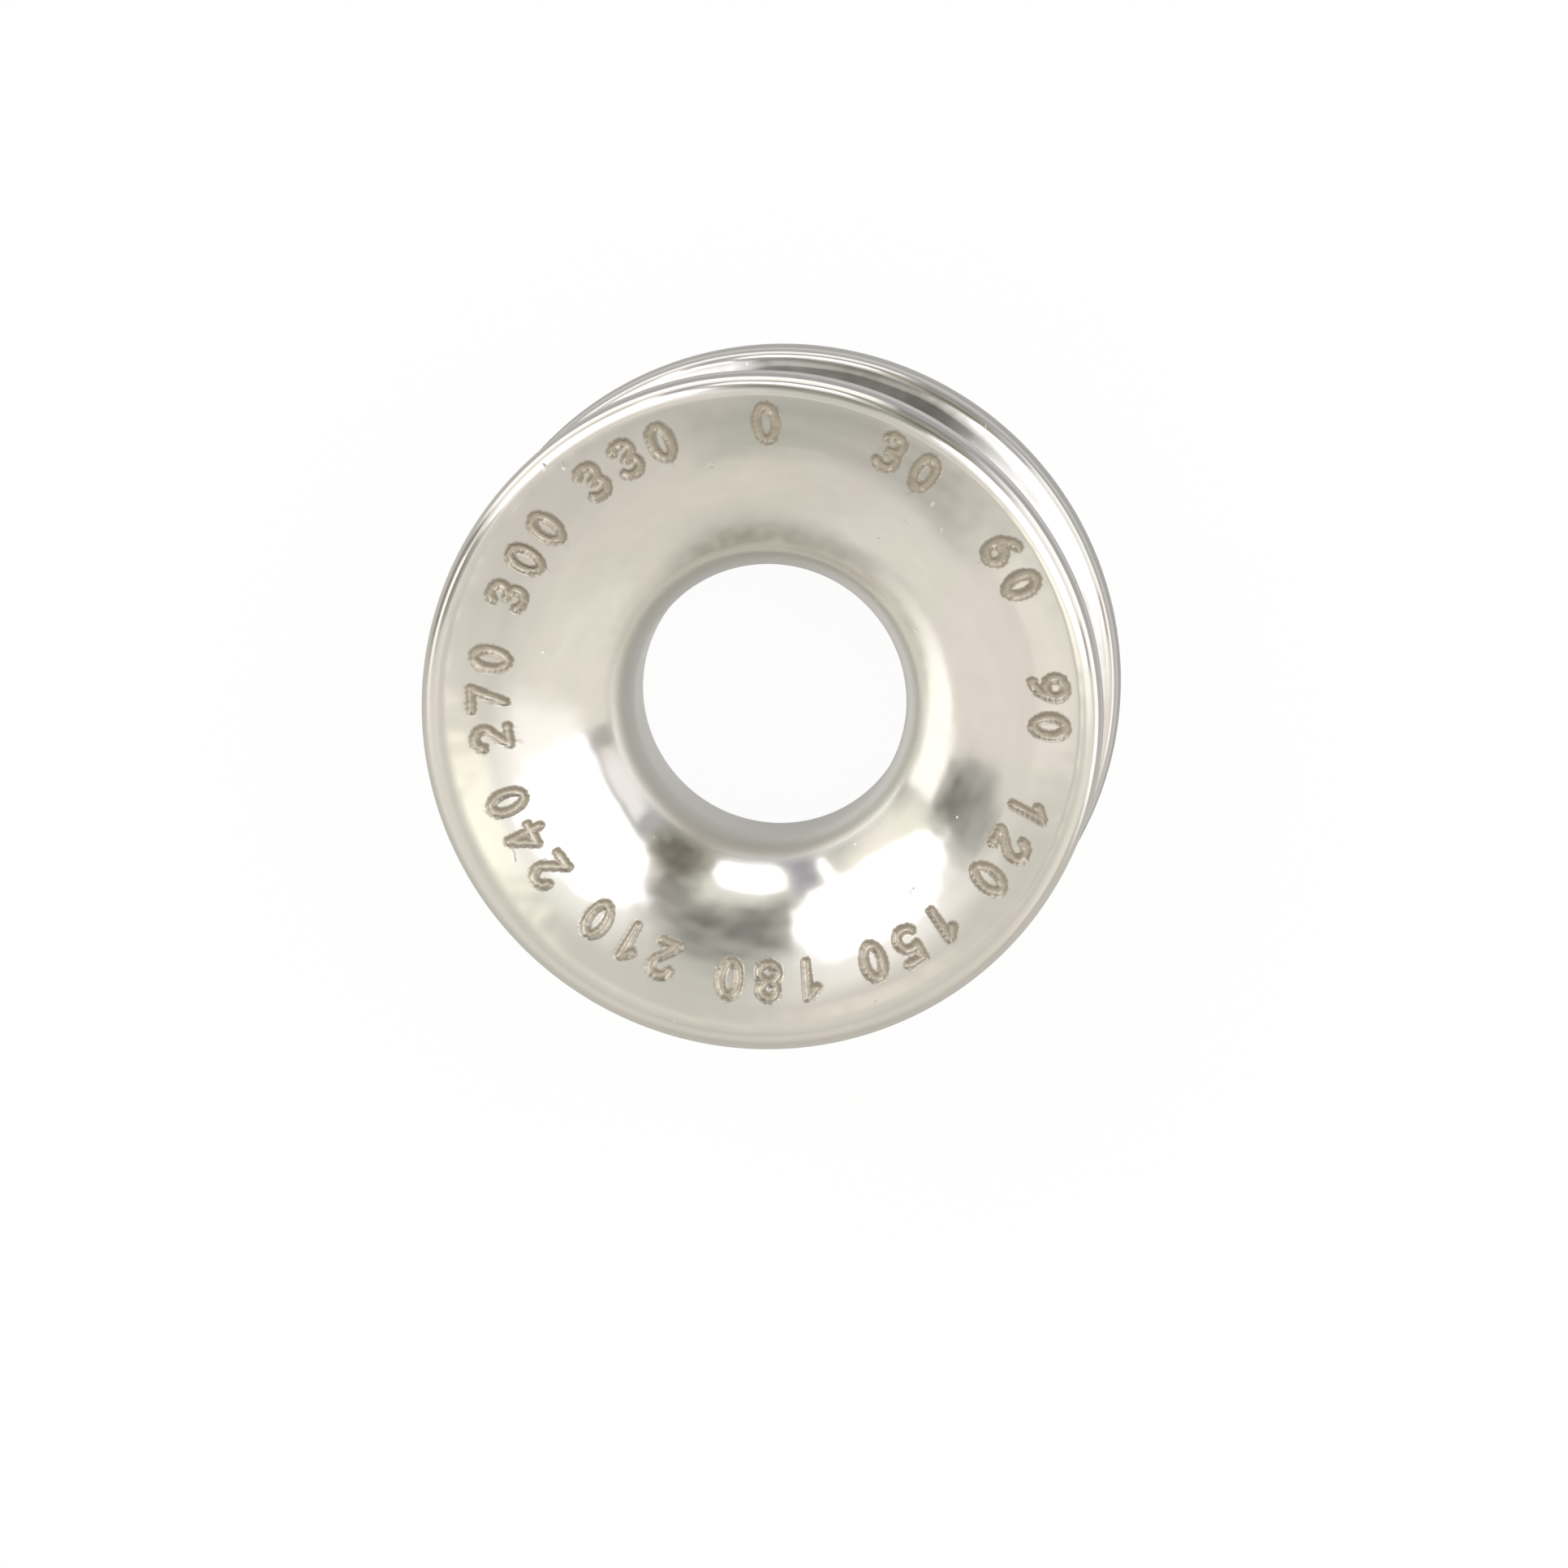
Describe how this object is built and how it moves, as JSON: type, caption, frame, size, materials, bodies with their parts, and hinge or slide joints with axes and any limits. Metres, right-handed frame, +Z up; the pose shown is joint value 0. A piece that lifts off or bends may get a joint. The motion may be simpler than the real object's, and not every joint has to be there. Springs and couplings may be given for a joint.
{
  "type": "low friction ring",
  "caption": "Turned stainless steel ring with a bore flared into both faces for a running line, and a round-bottomed rim groove for a thinner seizing line.",
  "frame": {"origin": "middle of the lower face, which the ring lies on", "axes": "+Z up along the axis of the bore; the ring is the same all round and upside down"},
  "size_m": [0.0126, 0.0126, 0.0052],
  "materials": {
    "stainless": "tumbled and polished, with a fine satin haze"
  },
  "bodies": {
    "root": {"ring": "stainless"}
  },
  "joints": []
}
